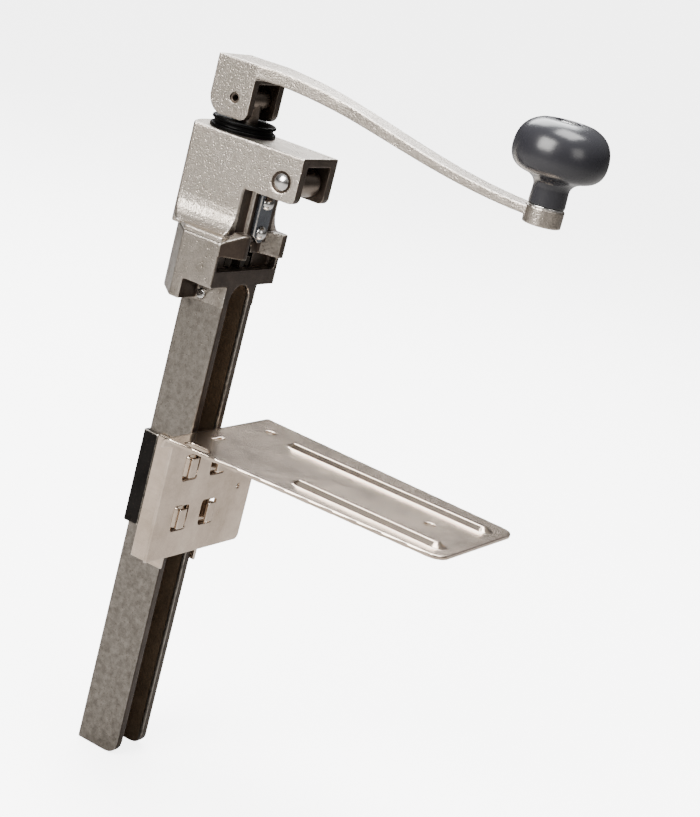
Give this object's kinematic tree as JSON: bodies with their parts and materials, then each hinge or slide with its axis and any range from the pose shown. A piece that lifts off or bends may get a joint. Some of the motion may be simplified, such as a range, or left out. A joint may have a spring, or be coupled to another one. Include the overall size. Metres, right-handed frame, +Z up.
{
  "type": "manual can opener",
  "caption": "Table-edge manual can opener: stamped base and sleeve, sliding cast bar and head, knife, gear, roller, hinged crank and knob.",
  "frame": {"origin": "middle of the base plate's flat underside, which lies on the table top", "axes": "+Z up along the sliding bar, -Y away from the bar over the table, +X to the right seen from the front"},
  "size_m": [0.108, 0.261, 0.4704],
  "materials": {
    "plated_sheet": "satin plated sheet",
    "dark_steel": "dark oxide",
    "cast_grey": "tumbled casting",
    "cast_nickel": "nickel plated casting",
    "bright_steel": "bright zinc",
    "bronze": "sintered bronze",
    "tool_steel": "zinc plated hardened steel",
    "machined_steel": "turned",
    "black_plastic": "satin",
    "knob_plastic": "satin gloss"
  },
  "bodies": {
    "base": {"base_plate": "plated_sheet", "sleeve_channel": "plated_sheet", "rear_strap": "dark_steel"},
    "carriage": {"slide_bar": "cast_grey", "head_casting": "cast_nickel", "head_screws": "bright_steel", "spindle_bush": "bronze", "stop_pin": "bright_steel", "knife": "tool_steel", "knife_screws": "bright_steel", "roller_pin": "bright_steel"},
    "roller_wheel": {"roller": "machined_steel"},
    "turntable": {"collar": "black_plastic"},
    "drive": {"spindle": "machined_steel", "drive_gear": "tool_steel", "gear_washer": "bright_steel", "gear_screw": "bright_steel"},
    "crank": {"crank_arm": "cast_nickel", "crank_pin": "tool_steel", "knob_washer": "bright_steel", "knob_stud": "bright_steel"},
    "grip": {"knob": "knob_plastic"}
  },
  "joints": [
    {"name": "bar_slide", "type": "slide", "parent": "base", "child": "carriage", "axis": [0, 0, 1], "range_m": [-0.085, 0.11]},
    {"name": "roller_spin", "type": "hinge", "parent": "carriage", "child": "roller_wheel", "pos_m": [0, 0.0774, 0.165], "axis": [1, 0, 0], "continuous": true},
    {"name": "crank_turn", "type": "hinge", "parent": "carriage", "child": "turntable", "pos_m": [0, 0.125, 0.18], "axis": [0, 0, 1], "continuous": true},
    {"name": "spindle_lift", "type": "slide", "parent": "turntable", "child": "drive", "axis": [0, 0, 1], "range_m": [0, 0.0068]},
    {"name": "crank_lift", "type": "hinge", "parent": "drive", "child": "crank", "pos_m": [0, 0.125, 0.2024], "axis": [-1, 0, 0], "range_deg": [0, 80]},
    {"name": "knob_spin", "type": "hinge", "parent": "crank", "child": "grip", "pos_m": [0, -0.081, 0.22], "axis": [0, 0, 1], "continuous": true}
  ],
  "couplings": [
    {"joint": "spindle_lift", "follows": "crank_lift", "m_per_rad": 0.00486}
  ]
}
